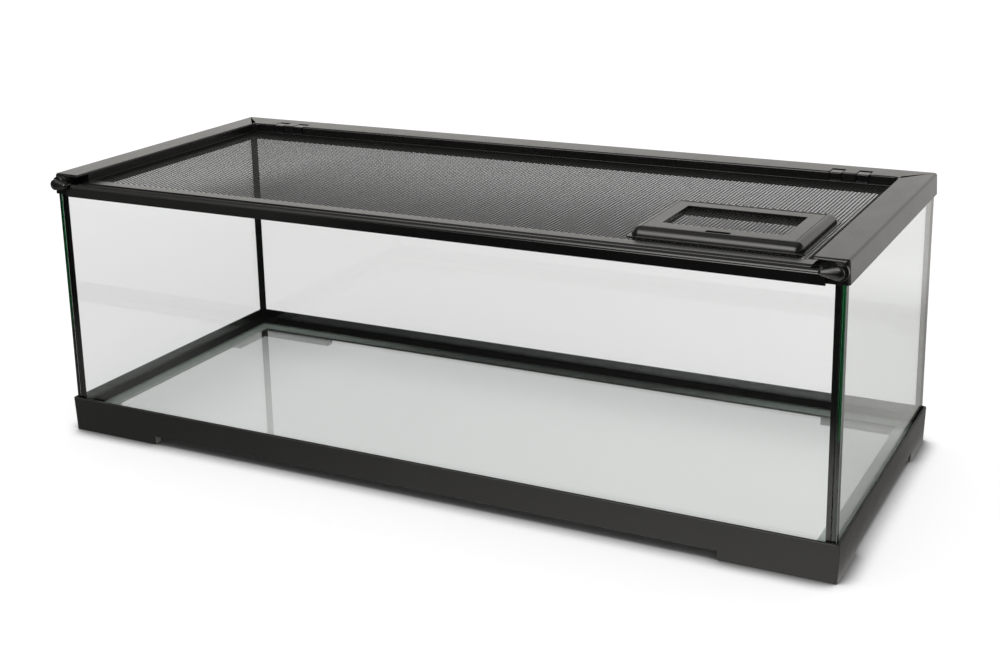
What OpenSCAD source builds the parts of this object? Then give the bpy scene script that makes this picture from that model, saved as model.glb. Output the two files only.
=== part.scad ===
// Reptile terrarium: glass tank in a black base frame, with a hinged mesh lid,
// a feeding hatch in the lid and two turning latches at the front corners.
// Millimetres, +Z up. The origin is on the floor under the middle of the base.
// The front is towards -Y.

/* [Overall] */
// Outside width of the base frame
base_w = 914; // [700:1:1300]
// Outside depth of the base frame
base_d = 380; // [300:1:600]
// Height from the floor to the top of the frame
tank_h = 311; // [200:1:600]

/* [Glass and silicone] */
// Thickness of every glass panel
glass_t = 5; // [4:0.5:8]
// Silicone between the edge of one panel and the face of the next
joint_t = 0.8; // [0.5:0.1:1.5]
// Leg of the silicone fillet in the upright corners
corner_bead = 6.4; // [2:0.2:8]
// Leg of the silicone fillet round the bottom panel
floor_bead = 6.5; // [3:0.5:10]

/* [Base frame] */
// Height of the base frame
base_h = 40.5; // [32:0.5:60]
// Thickness of the outer wall at its top
base_wall = 3; // [2:0.5:5]
// How far the outer wall leans in towards the floor
base_draft = 1.6; // [0:0.2:2.4]
// Radius of the upright corners
base_corner_r = 3; // [2.6:0.2:8]
// Size of the rounded top edge of the outer wall
base_edge = 1; // [0.4:0.1:1.5]
// Open groove between the base wall and the glass
groove = 1; // [0.5:0.1:2]
// Height of the shelf that the glass stands on
shelf_z = 20; // [16:0.5:24]
// Thickness of that shelf
shelf_t = 3; // [2:0.5:5]
// Width of that shelf, from the outside of the base
shelf_w = 31; // [24:1:50]
// Depth of the double skirt under the shelf
skirt_d = 13; // [11:0.5:18]
// Thickness of the inner wall and the ribs of the skirt
rib_t = 2.5; // [1.5:0.5:4]
// Distance between two ribs of the skirt
rib_pitch = 62; // [40:1:90]
// Height of the feet under the skirt
foot_h = 10; // [4:0.5:13]
// Length of a foot along the front or the back
foot_w = 117; // [60:1:160]
// Length of a foot along a side
foot_d = 70; // [40:1:90]

/* [Top frame] */
// Height of the skirt that grips the glass
skirt_h = 23.4; // [18:0.2:40]
// Thickness of that skirt
skirt_t = 2.6; // [2:0.2:4]
// Room for silicone between the skirt and the glass
glass_fit = 0.6; // [0.3:0.1:1]
// How far the skirt flares out towards its lower edge
skirt_flare = 1; // [0:0.2:1.4]
// Radius of the upright corners
top_corner_r = 5; // [4.6:0.2:8]
// Radius of the outer top edge
top_edge_r = 2.6; // [1:0.2:3]
// Thickness of the top plate and the inner walls
plate_t = 2.6; // [2:0.2:4]
// Width of the open recess under the front end of a side strip
recess_w = 14; // [10:0.5:15]
// Depth of that recess from front to back
recess_d = 20; // [12:0.5:30]
// Width of the top strip at each side
side_strip = 33; // [28:1:50]
// Width of the top strip at the back
back_strip = 38; // [32:1:50]
// Corner radius of the bay that the lid lies in
bay_r = 7; // [2:0.5:15]
// Depth of the bay, from the top plate to the ledge under the lid
bay_depth = 14; // [12:0.5:18]
// Width of the ledge under the sides of the lid
side_ledge = 12; // [6:1:16]
// Width of the ledge under the back of the lid
back_ledge = 17; // [10:1:25]
// Depth of the channel over the front panel
front_channel = 13.2; // [11:0.2:20]

/* [Lid] */
// Gap between the lid and the sides of its bay
lid_gap = 1; // [0.6:0.1:1.6]
// Gap between the lid and the back of its bay
lid_back_gap = 2; // [2:0.1:3]
// Gap between the lid and what it rests on
rest_gap = 0.3; // [0.1:0.1:0.5]
// Width of the flange that carries the mesh
flange_w = 12; // [8:1:16]
// Width of the raised rim round the mesh
rim_w = 4; // [3:0.5:6]
// Height of the rim and the rail over the ledge
rim_h = 5; // [4:0.2:6]
// Depth of the flat top of the front rail
rail_top = 14.5; // [10:0.5:25]
// How far the mesh lies under the top of the rim
mesh_drop = 2.4; // [1.4:0.1:3]
// How far the front rail stands out before the top frame
rail_out = 3.8; // [3.6:0.2:6]
// Thickness of the front wall of the rail
rail_wall = 2.8; // [2:0.2:3]
// Radius of the top front edge of the rail
rail_r = 4.6; // [3:0.2:5]
// Depth of the rounded nose of the rail
nose_w = 6.8; // [5.6:0.1:9]
// How far the nose lies under the top of the rim
nose_drop = 0.8; // [0.2:0.1:1.5]
// Width of the groove between the nose and the flat top
rail_groove = 4; // [2:0.5:6]
// Depth of that groove
groove_deep = 2; // [1:0.1:2.5]
// Height of the front rail
rail_h = 15.5; // [13:0.5:18]
// How far the rail reaches past the lid at each end
rail_end = 14; // [12:0.5:18]
// Gap between the flat strip of the rail and the side of the bay
strip_gap = 1.6; // [0.6:0.1:3]

/* [Lid mesh] */
// Thickness of the mesh sheets
mesh_t = 0.8; // [0.6:0.1:1.2]
// Distance between the holes of the real mesh
mesh_pitch = 4.5; // [3:0.1:8]
// Width across the flats of one real hole
mesh_hole = 3.1; // [1.5:0.1:5]
// Pitches that one modelled hole stands for, each way
mesh_group = 8; // [6:1:20]

/* [Lid hinges] */
// Distance from the middle of the lid to the middle of a hinge
hinge_x = 368; // [250:1:380]
// Distance from the bay to the hinge axis
hinge_in = 10.5; // [10:0.1:12]
// Depth of the hinge axis under the top plate
hinge_depth = 6; // [5.6:0.1:7]
// Diameter of the hinge pin
pin_d = 3; // [2:0.1:4]
// Width of one hinge lug
lug_w = 13; // [8:0.5:16]
// Width of the knuckle between two lugs
knuckle_w = 15; // [8:0.5:20]
// Radius of the lugs and the knuckle round the pin
lug_r = 5.7; // [3.6:0.1:5.8]
// Side gap of a lug in its notch
lug_gap = 0.9; // [0.8:0.1:1.2]
// Size of the edges of the lug's front end
lug_edge = 0.8; // [0.4:0.1:1.2]
// Running clearance of a pin or shaft, on the radius
run_fit = 0.08; // [0.04:0.01:0.1]
// Clearance of a pin that is held fast, on the radius
hold_fit = 0.02; // [0.01:0.01:0.04]

/* [Latches] */
// Distance from the latch axis to the outside of the top frame
latch_in = 9.2; // [8.8:0.1:12]
// Depth of the latch axis under the top plate
latch_depth = 11; // [9:0.2:12]
// Radius of the boss behind the lever
boss_r = 8.5; // [7:0.1:8.6]
// Height of that boss
boss_h = 2.5; // [1.5:0.1:3]
// Width of the ring groove round the face of the boss
ring_w = 0.8; // [0.4:0.1:1.2]
// Depth of that ring groove
ring_deep = 0.6; // [0.3:0.1:1]
// Radius of the round end of the lever
lever_r = 6.1; // [5:0.1:7]
// Radius of the tip of the lever
lever_tip_r = 3.2; // [2:0.1:3.4]
// Length of the lever, end to end
lever_len = 23.6; // [22:0.1:25]
// Thickness of the lever
lever_t = 8; // [5:0.2:10]
// Size of the edge round the lever's outer face
lever_edge = 0.9; // [0.4:0.1:1.4]
// Depth of the nose that holds the rail down
nose_t = 1.9; // [1.2:0.1:2]
// Gap between the nose and the rail
catch_gap = 0.6; // [0.4:0.1:1]
// Diameter of the lever's shaft
shaft_d = 5; // [4:0.1:6]
// Wall of the bush round that shaft, inside the frame
bush_wall = 1.6; // [1:0.1:2.4]
// How far that bush stands into the frame
bush_len = 2; // [1:0.1:3]
// Diameter of the latch screw
latch_screw_d = 2.4; // [2:0.1:3]
// Thickness of the screw's head
latch_head_t = 1.6; // [1:0.1:2.4]

/* [Feeding hatch] */
// Distance from the middle of the lid to the middle of the hatch
hatch_x = 319; // [0:1:320]
// Gap between the front rail and the foot of the hatch
hatch_front = 10.5; // [4:0.5:60]
// Outside width of the bezel
bezel_w = 174; // [120:1:180]
// Outside depth of the bezel
bezel_d = 132; // [96:1:160]
// Height of the bezel over the mesh
bezel_h = 10.5; // [9:0.1:14]
// Corner radius of the bezel's top edge
bezel_r = 1.6; // [1.2:0.1:6]
// Thickness of the foot of the bezel
bezel_foot = 1.8; // [1.2:0.1:3]
// How far the foot stands out
bezel_lip = 1.8; // [1:0.1:4]
// How far the sides of the bezel lean in
bezel_lean = 8.2; // [6:0.2:12]
// Top rim between the bezel's edge and the door
bezel_rim = 1.6; // [1:0.1:3]
// Gap round the hatch door
door_gap = 0.4; // [0.3:0.1:0.8]
// Thickness of the hatch door
door_t = 3.4; // [2.4:0.1:4]
// Width of the seat under the edge of the door
door_seat = 6; // [3:0.5:8]
// Width of the door frame at the sides of its window
door_side = 14; // [8:0.5:25]
// Width of the door frame in front of and behind its window
door_end = 17.5; // [10:0.5:25]
// How far the hatch mesh reaches under the frame of the door
mesh_lap = 2.5; // [1.5:0.1:4]
// Depth of the rim round the hatch mesh, under the door
mesh_rim = 2.4; // [1.6:0.1:3]
// Radius of the hinge barrel along the back of the door
barrel_r = 3.1; // [2.6:0.1:3.4]
// Diameter of the hatch hinge pins
hatch_pin_d = 2; // [1.5:0.1:2.4]
// Length of a hatch hinge pin
hatch_pin_len = 10; // [8:0.5:12]
// Width of the finger notch
notch_w = 24; // [12:1:40]
// Depth of the finger notch
notch_d = 6; // [4:0.5:8]
// Thickness left under the finger notch
notch_floor = 1; // [0.6:0.1:1.6]
// Width of the spring tab under the finger notch
tab_w = 18; // [8:0.5:30]
// Thickness of the spring tab
tab_t = 1.6; // [1:0.1:2]
// Depth of the hook on the spring tab
hook_d = 0.8; // [0.4:0.1:1.2]
// Height of that hook
hook_h = 1.4; // [1:0.1:2]
// Width of the backing ring under the mesh
backing_w = 14; // [12:0.5:18]
// Thickness of the backing ring
backing_t = 2; // [1.4:0.1:2.2]
// Diameter of the hatch screws
hatch_screw_d = 2.2; // [1.8:0.1:2.6]
// Height of the head of a hatch screw
hatch_head_h = 1.4; // [1:0.1:2]
// How deep the hatch screws bite into the bezel
screw_bite = 3.6; // [2.4:0.2:5]

/* [Hidden] */

$fn = 48;
past = 1;             // how far a cutter runs past the face it cuts
hull_fn = 32;         // segments of the round corners of hulled outlines
level_t = 0.01;       // thickness of one level of a hulled outline

plastic = [0.08, 0.08, 0.08];
glass = [0.75, 0.88, 0.84, 0.35];
rubber = [0.03, 0.03, 0.03];
metal = [0.6, 0.6, 0.62];
sheet = [0.2, 0.2, 0.2];

// Glass box
out_x = base_w / 2 - base_wall - groove;
out_y = base_d / 2 - base_wall - groove;
in_x = out_x - glass_t;
in_y = out_y - glass_t;
floor_z = shelf_z + glass_t;

// Top frame
frame_x = out_x + glass_fit + skirt_t;
frame_y = out_y + glass_fit + skirt_t;
plate_z = tank_h - plate_t;
skirt_z = tank_h - skirt_h;
ledge_z = tank_h - bay_depth;
bay_x = frame_x - skirt_flare - side_strip;
recess_x = bay_x + recess_w;
bay_back = frame_y - skirt_flare - back_strip;
hole_x = bay_x - side_ledge;
hole_back = bay_back - back_ledge;
hole_front = -frame_y + front_channel;
glass_top = ledge_z - plate_t;

// Lid
lid_x = bay_x - lid_gap;
strip_x = bay_x - strip_gap;
lid_back = bay_back - lid_back_gap;
lid_z = ledge_z + rest_gap;
rim_z = ledge_z + rim_h;
lid_r = bay_r - lid_gap;
mesh_z = rim_z - mesh_drop;
rail_y = -frame_y - rail_out;
rail_in = rail_y + rail_wall;
rail_x = lid_x + rail_end;
rail_foot = rim_z - rail_h;
nose_back = rail_y + nose_w;
rail_back = nose_back + rail_groove + rail_top;
mesh_back = lid_back - rim_w;
mesh_x = lid_x - rim_w;
axis_y = bay_back + hinge_in;
axis_z = tank_h - hinge_depth;
lug_at = (knuckle_w + lug_w) / 2 + lug_gap;
pin_len = 2 * (lug_at + lug_w / 2);

// Latches
latch_x = frame_x - latch_in;
latch_z = tank_h - latch_depth;
boss_y = -frame_y - boss_h;
lever_y = boss_y - rest_gap;
tip_at = lever_len - lever_r - lever_tip_r;
catch_x = latch_x - lever_len + lever_r - catch_gap;
catch_z = latch_z - lever_tip_r - catch_gap;
wall_in = -out_y - glass_fit;
bush_y = wall_in + bush_len;
bush_r = shaft_d / 2 + bush_wall;
shaft_end = bush_y + rest_gap;

// Hatch
hatch_y = rail_back + hatch_front + bezel_d / 2;
bezel_z = mesh_z + mesh_t;
hatch_top = bezel_z + bezel_h;
body_w = bezel_w - 2 * bezel_lip;
body_d = bezel_d - 2 * bezel_lip;
door_w = body_w - 2 * bezel_lean - 2 * bezel_rim - 2 * door_gap;
door_d = body_d - 2 * bezel_lean - 2 * bezel_rim - 2 * door_gap;
door_z = hatch_top - door_t;
seat_z = door_z - rest_gap;
way_w = door_w - 2 * door_seat;
way_d = door_d - 2 * door_seat;
barrel_y = door_d / 2 - barrel_r;
barrel_z = hatch_top - barrel_r;
window_w = door_w - 2 * door_side;
window_d = door_d - 2 * door_end;
screw_x = (way_w + backing_w) / 2;
screw_y = (way_d + backing_w) / 2;
tab_y = -way_d / 2 + 2 * door_gap;
hook_z = (bezel_z + seat_z - hook_h) / 2 - 1;

// ---------------------------------------------------------------- helpers

// Box between two corners
module block(x0, x1, y0, y1, z0, z1) {
    translate([x0, y0, z0]) cube([x1 - x0, y1 - y0, z1 - z0]);
}

// Box centred on the Z axis
module slab(w, d, z0, z1) {
    block(-w / 2, w / 2, -d / 2, d / 2, z0, z1);
}

// Box with round upright corners
module round_slab(w, d, r, z0, z1) {
    slab(w - 2 * r, d, z0, z1);
    slab(w, d - 2 * r, z0, z1);
    for (sx = [-1, 1], sy = [-1, 1])
        translate([sx * (w / 2 - r), sy * (d / 2 - r), z0]) cylinder(r = r, h = z1 - z0);
}

// Outline with round corners, lofted through levels of [height, inset]
module lofted(w, d, r, levels) {
    hull() for (l = levels, sx = [-1, 1], sy = [-1, 1])
        translate([sx * (w / 2 - r), sy * (d / 2 - r), l[0]])
            cylinder(r = r - l[1], h = level_t, $fn = hull_fn);
}

// Child and its mirror image across the middle of the width
module both_sides() {
    children();
    mirror([1, 0, 0]) children();
}

// Cylinder along X, centred
module rod_x(r, len) {
    rotate([0, 90, 0]) cylinder(r = r, h = len, center = true);
}

// Cylinder along Y between two planes
module rod_y(r, y0, y1) {
    translate([0, y0, 0]) rotate([-90, 0, 0]) cylinder(r = r, h = y1 - y0);
}

// ---------------------------------------------------------------- tank

module base_frame() {
    slot_top = shelf_z - shelf_t;
    slot_out = base_wall + base_draft;
    slot_w = skirt_d - rib_t - slot_out;
    foot_x = base_w / 2 - foot_w;
    foot_y = base_d / 2 - foot_d;
    color(plastic) difference() {
        lofted(base_w, base_d, base_corner_r,
               [[-past, base_draft], [base_h - base_edge, 0],
                [base_h - 0.3 * base_edge, 0.3 * base_edge], [base_h - level_t, base_edge]]);
        slab(base_w + past, base_d + past, -2 * past, 0);
        // the well that holds the glass, and the hole through the shelf
        slab(2 * (out_x + groove), 2 * (out_y + groove), shelf_z, base_h + past);
        slab(base_w - 2 * shelf_w, base_d - 2 * shelf_w, -past, shelf_z + past);
        // the space under the shelf
        slab(base_w - 2 * skirt_d, base_d - 2 * skirt_d, -past, slot_top);
        // the skirt is raised between the feet
        slab(2 * foot_x, base_d + past, -past, foot_h);
        slab(base_w + past, 2 * foot_y, -past, foot_h);
        // open slots between the ribs of the double skirt
        for (s = [-1, 1]) {
            skirt_slots(foot_x, rib_pitch) translate([0, s * (base_d / 2 - slot_out - slot_w / 2), 0])
                slab(rib_pitch - rib_t, slot_w, -past, slot_top);
            rotate(90) skirt_slots(foot_y, rib_pitch)
                translate([0, s * (base_w / 2 - slot_out - slot_w / 2), 0])
                    slab(rib_pitch - rib_t, slot_w, -past, slot_top);
        }
    }
}

// Row of slots between the feet, with a rib between each two
module skirt_slots(half, pitch) {
    count = floor((2 * half - rib_t) / pitch);
    for (i = [0 : count - 1]) translate([(i - (count - 1) / 2) * pitch, 0, 0]) children();
}

module bottom_glass() {
    color(glass) slab(2 * (in_x - joint_t), 2 * (in_y - joint_t), shelf_z, floor_z);
}

// Front and back panels stand between the side panels
module front_glass() {
    color(glass) block(-in_x + joint_t, in_x - joint_t, -out_y, -in_y, shelf_z, glass_top);
}

module back_glass() {
    color(glass) block(-in_x + joint_t, in_x - joint_t, in_y, out_y, shelf_z, glass_top);
}

module left_glass() {
    color(glass) block(-out_x, -in_x, -out_y, out_y, shelf_z, glass_top);
}

module right_glass() {
    color(glass) block(in_x, out_x, -out_y, out_y, shelf_z, glass_top);
}

// Silicone of one upright corner: the joint between the panels and the fillet inside
module corner_silicone(sx, sy) {
    bead_top = skirt_z + skirt_h / 4;
    color(rubber) scale([sx, sy, 1]) union() {
        block(in_x - joint_t, in_x, in_y, out_y, shelf_z, glass_top);
        translate([in_x, in_y, floor_z + floor_bead]) linear_extrude(bead_top - floor_z - floor_bead)
            polygon([[0, 0], [-corner_bead, 0], [0, -corner_bead]]);
    }
}

module silicone_front_left() { corner_silicone(-1, -1); }
module silicone_front_right() { corner_silicone(1, -1); }
module silicone_back_left() { corner_silicone(-1, 1); }
module silicone_back_right() { corner_silicone(1, 1); }

// Silicone round the bottom panel, with a sloping fillet above it
module silicone_floor() {
    color(rubber) difference() {
        slab(2 * in_x, 2 * in_y, shelf_z, floor_z + floor_bead);
        slab(2 * (in_x - joint_t), 2 * (in_y - joint_t), shelf_z - past, floor_z);
        hull() {
            slab(2 * (in_x - floor_bead), 2 * (in_y - floor_bead), floor_z - level_t, floor_z);
            slab(2 * in_x, 2 * in_y, floor_z + floor_bead, floor_z + floor_bead + level_t);
        }
    }
}

// ---------------------------------------------------------------- top frame

module top_frame() {
    inner_x = bay_x + plate_t;
    inner_back = bay_back + plate_t;
    rib_top = plate_z + past / 2;
    recess_back = -frame_y + recess_d;
    // round outer edge of the top
    edge = [for (a = [0 : 22.5 : 90]) [tank_h - level_t - top_edge_r * (1 - sin(a)),
                                       skirt_flare + top_edge_r * (1 - cos(a))]];
    color(plastic) difference() {
        union() {
            difference() {
                lofted(2 * frame_x, 2 * frame_y, top_corner_r, concat([[skirt_z - past, 0]], edge));
                slab(2 * frame_x + past, 2 * frame_y + past, skirt_z - 2 * past, skirt_z);
                // the hollow under the top plate, at the sides and the back
                both_sides() block(inner_x, out_x + glass_fit, wall_in, -wall_in, skirt_z - past, plate_z);
                block(-inner_x, inner_x, inner_back, -wall_in, skirt_z - past, plate_z);
                // the channel over the front panel
                block(-inner_x, inner_x, wall_in, hole_front - plate_t, skirt_z - past, glass_top);
                // the opening of the tank
                block(-hole_x, hole_x, hole_front, hole_back, skirt_z - past, ledge_z + past);
                both_sides() block(hole_x - past, inner_x, hole_front, hole_back, skirt_z - past, glass_top);
                block(-inner_x, inner_x, hole_back - past, inner_back, skirt_z - past, glass_top);
            }
            // ribs that stand on the edge of the glass
            for (i = [-2 : 2]) {
                both_sides() block(inner_x - past / 2, out_x + glass_fit + past / 2,
                                   i * out_y / 3 - rib_t / 2, i * out_y / 3 + rib_t / 2, glass_top, rib_top);
                block(i * out_x / 3 - rib_t / 2, i * out_x / 3 + rib_t / 2,
                      inner_back - past / 2, -wall_in + past / 2, glass_top, rib_top);
            }
            both_sides() {
                // hinge knuckle
                translate([hinge_x, axis_y, axis_z]) rod_x(lug_r, knuckle_w);
                block(hinge_x - knuckle_w / 2, hinge_x + knuckle_w / 2, inner_back - past / 2,
                      axis_y + lug_r, axis_z, rib_top);
                // walls and floor of the front recess
                block(inner_x - past / 2, recess_x + plate_t, wall_in - past / 2, recess_back + plate_t,
                      glass_top, rib_top);
                // latch boss outside, bush inside
                translate([latch_x, 0, latch_z]) rod_y(boss_r, boss_y, -frame_y + skirt_flare + past);
                translate([latch_x, 0, latch_z]) rod_y(bush_r, wall_in - past / 2, bush_y);
            }
        }
        // the bay that the lid lies in
        lid_bay();
        both_sides() {
            block(bay_x - past, recess_x, -frame_y - past, recess_back, ledge_z, plate_z);
            for (s = [-1, 1]) hinge_notch(hinge_x + s * lug_at);
            translate([hinge_x, axis_y, axis_z]) rod_x(pin_d / 2 + run_fit, knuckle_w + past);
            translate([latch_x, 0, latch_z]) {
                rod_y(shaft_d / 2 + run_fit, boss_y - past, bush_y + past);
                difference() {
                    rod_y(boss_r - ring_w, boss_y - past, boss_y + ring_deep);
                    rod_y(boss_r - 2 * ring_w, boss_y - 2 * past, boss_y + past);
                }
            }
        }
    }
}

// Bay with round rear corners, open at the front
module lid_bay() {
    block(-bay_x, bay_x, -frame_y - past, bay_back - bay_r, ledge_z, tank_h + past);
    block(-bay_x + bay_r, bay_x - bay_r, -frame_y - past, bay_back, ledge_z, tank_h + past);
    for (s = [-1, 1]) translate([s * (bay_x - bay_r), bay_back - bay_r, ledge_z])
        cylinder(r = bay_r, h = bay_depth + past);
}

// Notch in the back strip for one lug of the lid
module hinge_notch(x) {
    half = lug_w / 2 + lug_gap;
    block(x - half, x + half, bay_back - past, axis_y + lug_r + lug_gap, ledge_z, tank_h + past);
}

// ---------------------------------------------------------------- lid

module lid_frame() {
    // arm of a lug, from the rim to the round end: an upright front end and a flat top
    lug_top = axis_z + lug_r;
    lug_front = lid_back + lug_edge;
    arm = [[lid_back - rim_w, lid_z], [lid_back - rim_w, rim_z], [lug_front, rim_z],
           [lug_front, lug_top - lug_edge], [lug_front + lug_edge, lug_top],
           [axis_y, lug_top], [axis_y, axis_z - lug_r]];
    color(plastic) difference() {
        union() {
            // flange under the mesh and rim round it
            difference() {
                block(-lid_x, lid_x, rail_back - past, lid_back, lid_z, rim_z);
                block(-mesh_x, mesh_x, rail_back - 2 * past, mesh_back, mesh_z, rim_z + past);
                block(-lid_x + flange_w, lid_x - flange_w, rail_back - 2 * past, lid_back - flange_w,
                      lid_z - past, rim_z + past);
            }
            block(-lid_x, lid_x, rail_back - rail_top, rail_back + flange_w / 2, lid_z, mesh_z);
            block(-strip_x, strip_x, rail_back - rail_top, rail_back, lid_z, rim_z);
            front_rail();
            // hinge lugs
            both_sides() for (s = [-1, 1]) translate([hinge_x + s * lug_at, 0, 0]) {
                translate([0, axis_y, axis_z]) rod_x(lug_r, lug_w);
                rotate([90, 0, 90]) linear_extrude(lug_w, center = true) polygon(arm);
            }
        }
        both_sides() {
            lid_corner();
            translate([hinge_x, axis_y, axis_z]) rod_x(pin_d / 2 + hold_fit, pin_len + past);
            // room for the tip of the latch lever, over the catch
            block(catch_x, rail_x + past, rail_y - past, rail_in + past / 2, catch_z, rim_z + past);
        }
    }
}

// What is cut off to round a rear corner of the lid
module lid_corner() {
    difference() {
        block(lid_x - lid_r, lid_x + past, lid_back - lid_r, lid_back + past, lid_z - past, tank_h);
        translate([lid_x - lid_r, lid_back - lid_r, 0]) cylinder(r = lid_r, h = tank_h + past);
    }
}

// Front rail: a rounded nose with a hanging front wall, and a groove behind the nose
module front_rail() {
    nose_top = rim_z - nose_drop;
    arc_y = rail_y + rail_r;
    arc_z = nose_top - rail_r;
    nose = concat([[rail_y, rail_foot], [rail_in, rail_foot], [rail_in, lid_z], [nose_back, lid_z]],
                  [for (a = [0 : 30 : 90]) [nose_back - nose_drop * (1 - cos(a)),
                                            nose_top - nose_drop * (1 - sin(a))]],
                  [for (a = [90 : 15 : 180]) [arc_y + rail_r * cos(a), arc_z + rail_r * sin(a)]]);
    rotate([90, 0, 90]) linear_extrude(2 * strip_x, center = true) polygon(nose);
    // only the front wall reaches past the lid, before the ends of the side strips
    intersection() {
        rotate([90, 0, 90]) linear_extrude(2 * rail_x, center = true) polygon(nose);
        block(-rail_x, rail_x, rail_y - past, rail_in, 0, tank_h);
    }
    // sloping back of the groove, up to the flat strip
    valley = [[arc_y, lid_z], [arc_y, rim_z - groove_deep], [nose_back, rim_z - groove_deep],
              [rail_back - rail_top, rim_z], [rail_back - rail_top + past, rim_z],
              [rail_back - rail_top + past, lid_z]];
    rotate([90, 0, 90]) linear_extrude(2 * strip_x, center = true) polygon(valley);
}

module lid_mesh() {
    color(sheet) difference() {
        perforated(-mesh_x, mesh_x, rail_back, mesh_back, mesh_z, mesh_pitch * mesh_group,
                   mesh_hole * mesh_group, flange_w, hatch_keep());
        translate([hatch_x, hatch_y, 0]) {
            slab(way_w, way_d, mesh_z - past, mesh_z + mesh_t + past);
            hatch_screw_places() cylinder(d = hatch_screw_d + 4 * run_fit, h = tank_h);
        }
    }
}

// Part of the sheet under the hatch that has no modelled holes: [x0, x1, y0, y1]
function hatch_keep() = [hatch_x - bezel_w / 2, hatch_x + bezel_w / 2,
                         hatch_y - bezel_d / 2, hatch_y + bezel_d / 2];

// Sheet with staggered hexagonal holes, kept plain near its edges and inside one area
module perforated(x0, x1, y0, y1, z0, pitch, hole, edge, keep) {
    row = pitch * sqrt(3) / 2;
    r = hole / sqrt(3);
    rows = floor((y1 - y0 - 2 * edge) / pitch);
    cols = floor((x1 - x0 - 2 * edge) / row);
    translate([0, 0, z0]) linear_extrude(mesh_t) difference() {
        translate([x0, y0]) square([x1 - x0, y1 - y0]);
        for (c = [0 : cols - 1], j = [0 : rows - 1]) {
            x = (x0 + x1) / 2 + (c - (cols - 1) / 2) * row;
            y = (y0 + y1) / 2 + (j - (rows - 1) / 2) * pitch + (c % 2 - 0.5) * pitch / 2;
            if (x + r < keep[0] || x - r > keep[1] || y + r < keep[2] || y - r > keep[3])
                translate([x, y]) circle(r, $fn = 6);
        }
    }
}

module hinge_pin(s) {
    color(metal) translate([s * hinge_x, axis_y, axis_z]) rod_x(pin_d / 2, pin_len);
}

module hinge_pin_left() { hinge_pin(-1); }
module hinge_pin_right() { hinge_pin(1); }

// ---------------------------------------------------------------- feeding hatch

// Moves the hatch from its own middle to its place on the lid
module at_hatch() {
    translate([hatch_x, hatch_y, 0]) children();
}

module hatch_screw_places() {
    for (sx = [-1, 0, 1], sy = [-1, 1]) translate([sx * screw_x, sy * screw_y, 0]) children();
}

module hatch_bezel() {
    // the sides rise in a quarter of an ellipse out of the foot
    side_z = bezel_z + bezel_foot / 2;
    side_h = hatch_top - side_z - level_t;
    levels = [for (a = [0 : 18 : 90]) [side_z + side_h * sin(a), bezel_lean * (1 - cos(a))]];
    color(plastic) at_hatch() difference() {
        union() {
            round_slab(bezel_w, bezel_d, bezel_r, bezel_z, bezel_z + bezel_foot);
            lofted(body_w, body_d, bezel_r + bezel_lean, levels);
        }
        // recess for the door, the seat under it and the way through
        slab(door_w + 2 * door_gap, door_d + 2 * door_gap, seat_z, hatch_top + past);
        slab(way_w, way_d, bezel_z - past, hatch_top);
        // groove for the hinge barrel, and the pin bores
        translate([0, barrel_y, barrel_z]) {
            rod_x(barrel_r + door_gap, door_w + 2 * door_gap);
            rod_x(hatch_pin_d / 2 + hold_fit, door_w + hatch_pin_len + past);
        }
        // catch for the hook of the spring tab
        block(-tab_w / 2 - door_gap, tab_w / 2 + door_gap, -way_d / 2 - hook_d, -way_d / 2 + past,
              hook_z - door_gap, hook_z + hook_h + door_gap);
        // pilot bores for the screws
        translate([0, 0, bezel_z - past]) hatch_screw_places()
            cylinder(d = hatch_screw_d + 2 * hold_fit, h = past + screw_bite + rest_gap);
    }
}

module hatch_backing_ring() {
    color(plastic) at_hatch() difference() {
        round_slab(way_w + 2 * backing_w, way_d + 2 * backing_w, bezel_r, mesh_z - backing_t, mesh_z);
        slab(way_w, way_d, mesh_z - backing_t - past, mesh_z + past);
        translate([0, 0, mesh_z - backing_t - past]) hatch_screw_places()
            cylinder(d = hatch_screw_d + 4 * run_fit, h = backing_t + 2 * past);
    }
}

module hatch_screws() {
    head_z = mesh_z - backing_t;
    color(metal) at_hatch() hatch_screw_places() {
        translate([0, 0, head_z]) cylinder(d = hatch_screw_d, h = bezel_z + screw_bite - head_z);
        translate([0, 0, head_z - hatch_head_h])
            cylinder(d1 = hatch_screw_d * 1.4, d2 = hatch_screw_d * 2, h = hatch_head_h);
    }
}

module hatch_door() {
    rim_foot = door_z - mesh_rim;
    rim_w_in = window_w + 2 * mesh_lap;
    rim_d_in = window_d + 2 * mesh_lap;
    color(plastic) at_hatch() difference() {
        union() {
            block(-door_w / 2, door_w / 2, -door_d / 2, barrel_y, door_z, hatch_top);
            translate([0, barrel_y, barrel_z]) rod_x(barrel_r, door_w);
            // rim round the mesh, under the door
            difference() {
                slab(rim_w_in + 2 * tab_t, rim_d_in + 2 * tab_t, rim_foot, door_z + past);
                slab(rim_w_in, rim_d_in, rim_foot - past, door_z);
            }
            // spring tab, and its hook in the catch of the bezel
            block(-tab_w / 2, tab_w / 2, tab_y, tab_y + tab_t, hook_z, door_z + past);
            block(-tab_w / 2, tab_w / 2, -way_d / 2 - hook_d + door_gap, tab_y + tab_t,
                  hook_z, hook_z + hook_h);
        }
        slab(window_w, window_d, door_z - past, hatch_top + past);
        // finger notch
        block(-notch_w / 2, notch_w / 2, -door_d / 2 - past, -door_d / 2 + notch_d,
              door_z + notch_floor, hatch_top + past);
        translate([0, barrel_y, barrel_z]) both_sides()
            translate([door_w / 2, 0, 0]) rod_x(hatch_pin_d / 2 + run_fit, hatch_pin_len + past);
    }
}

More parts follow.
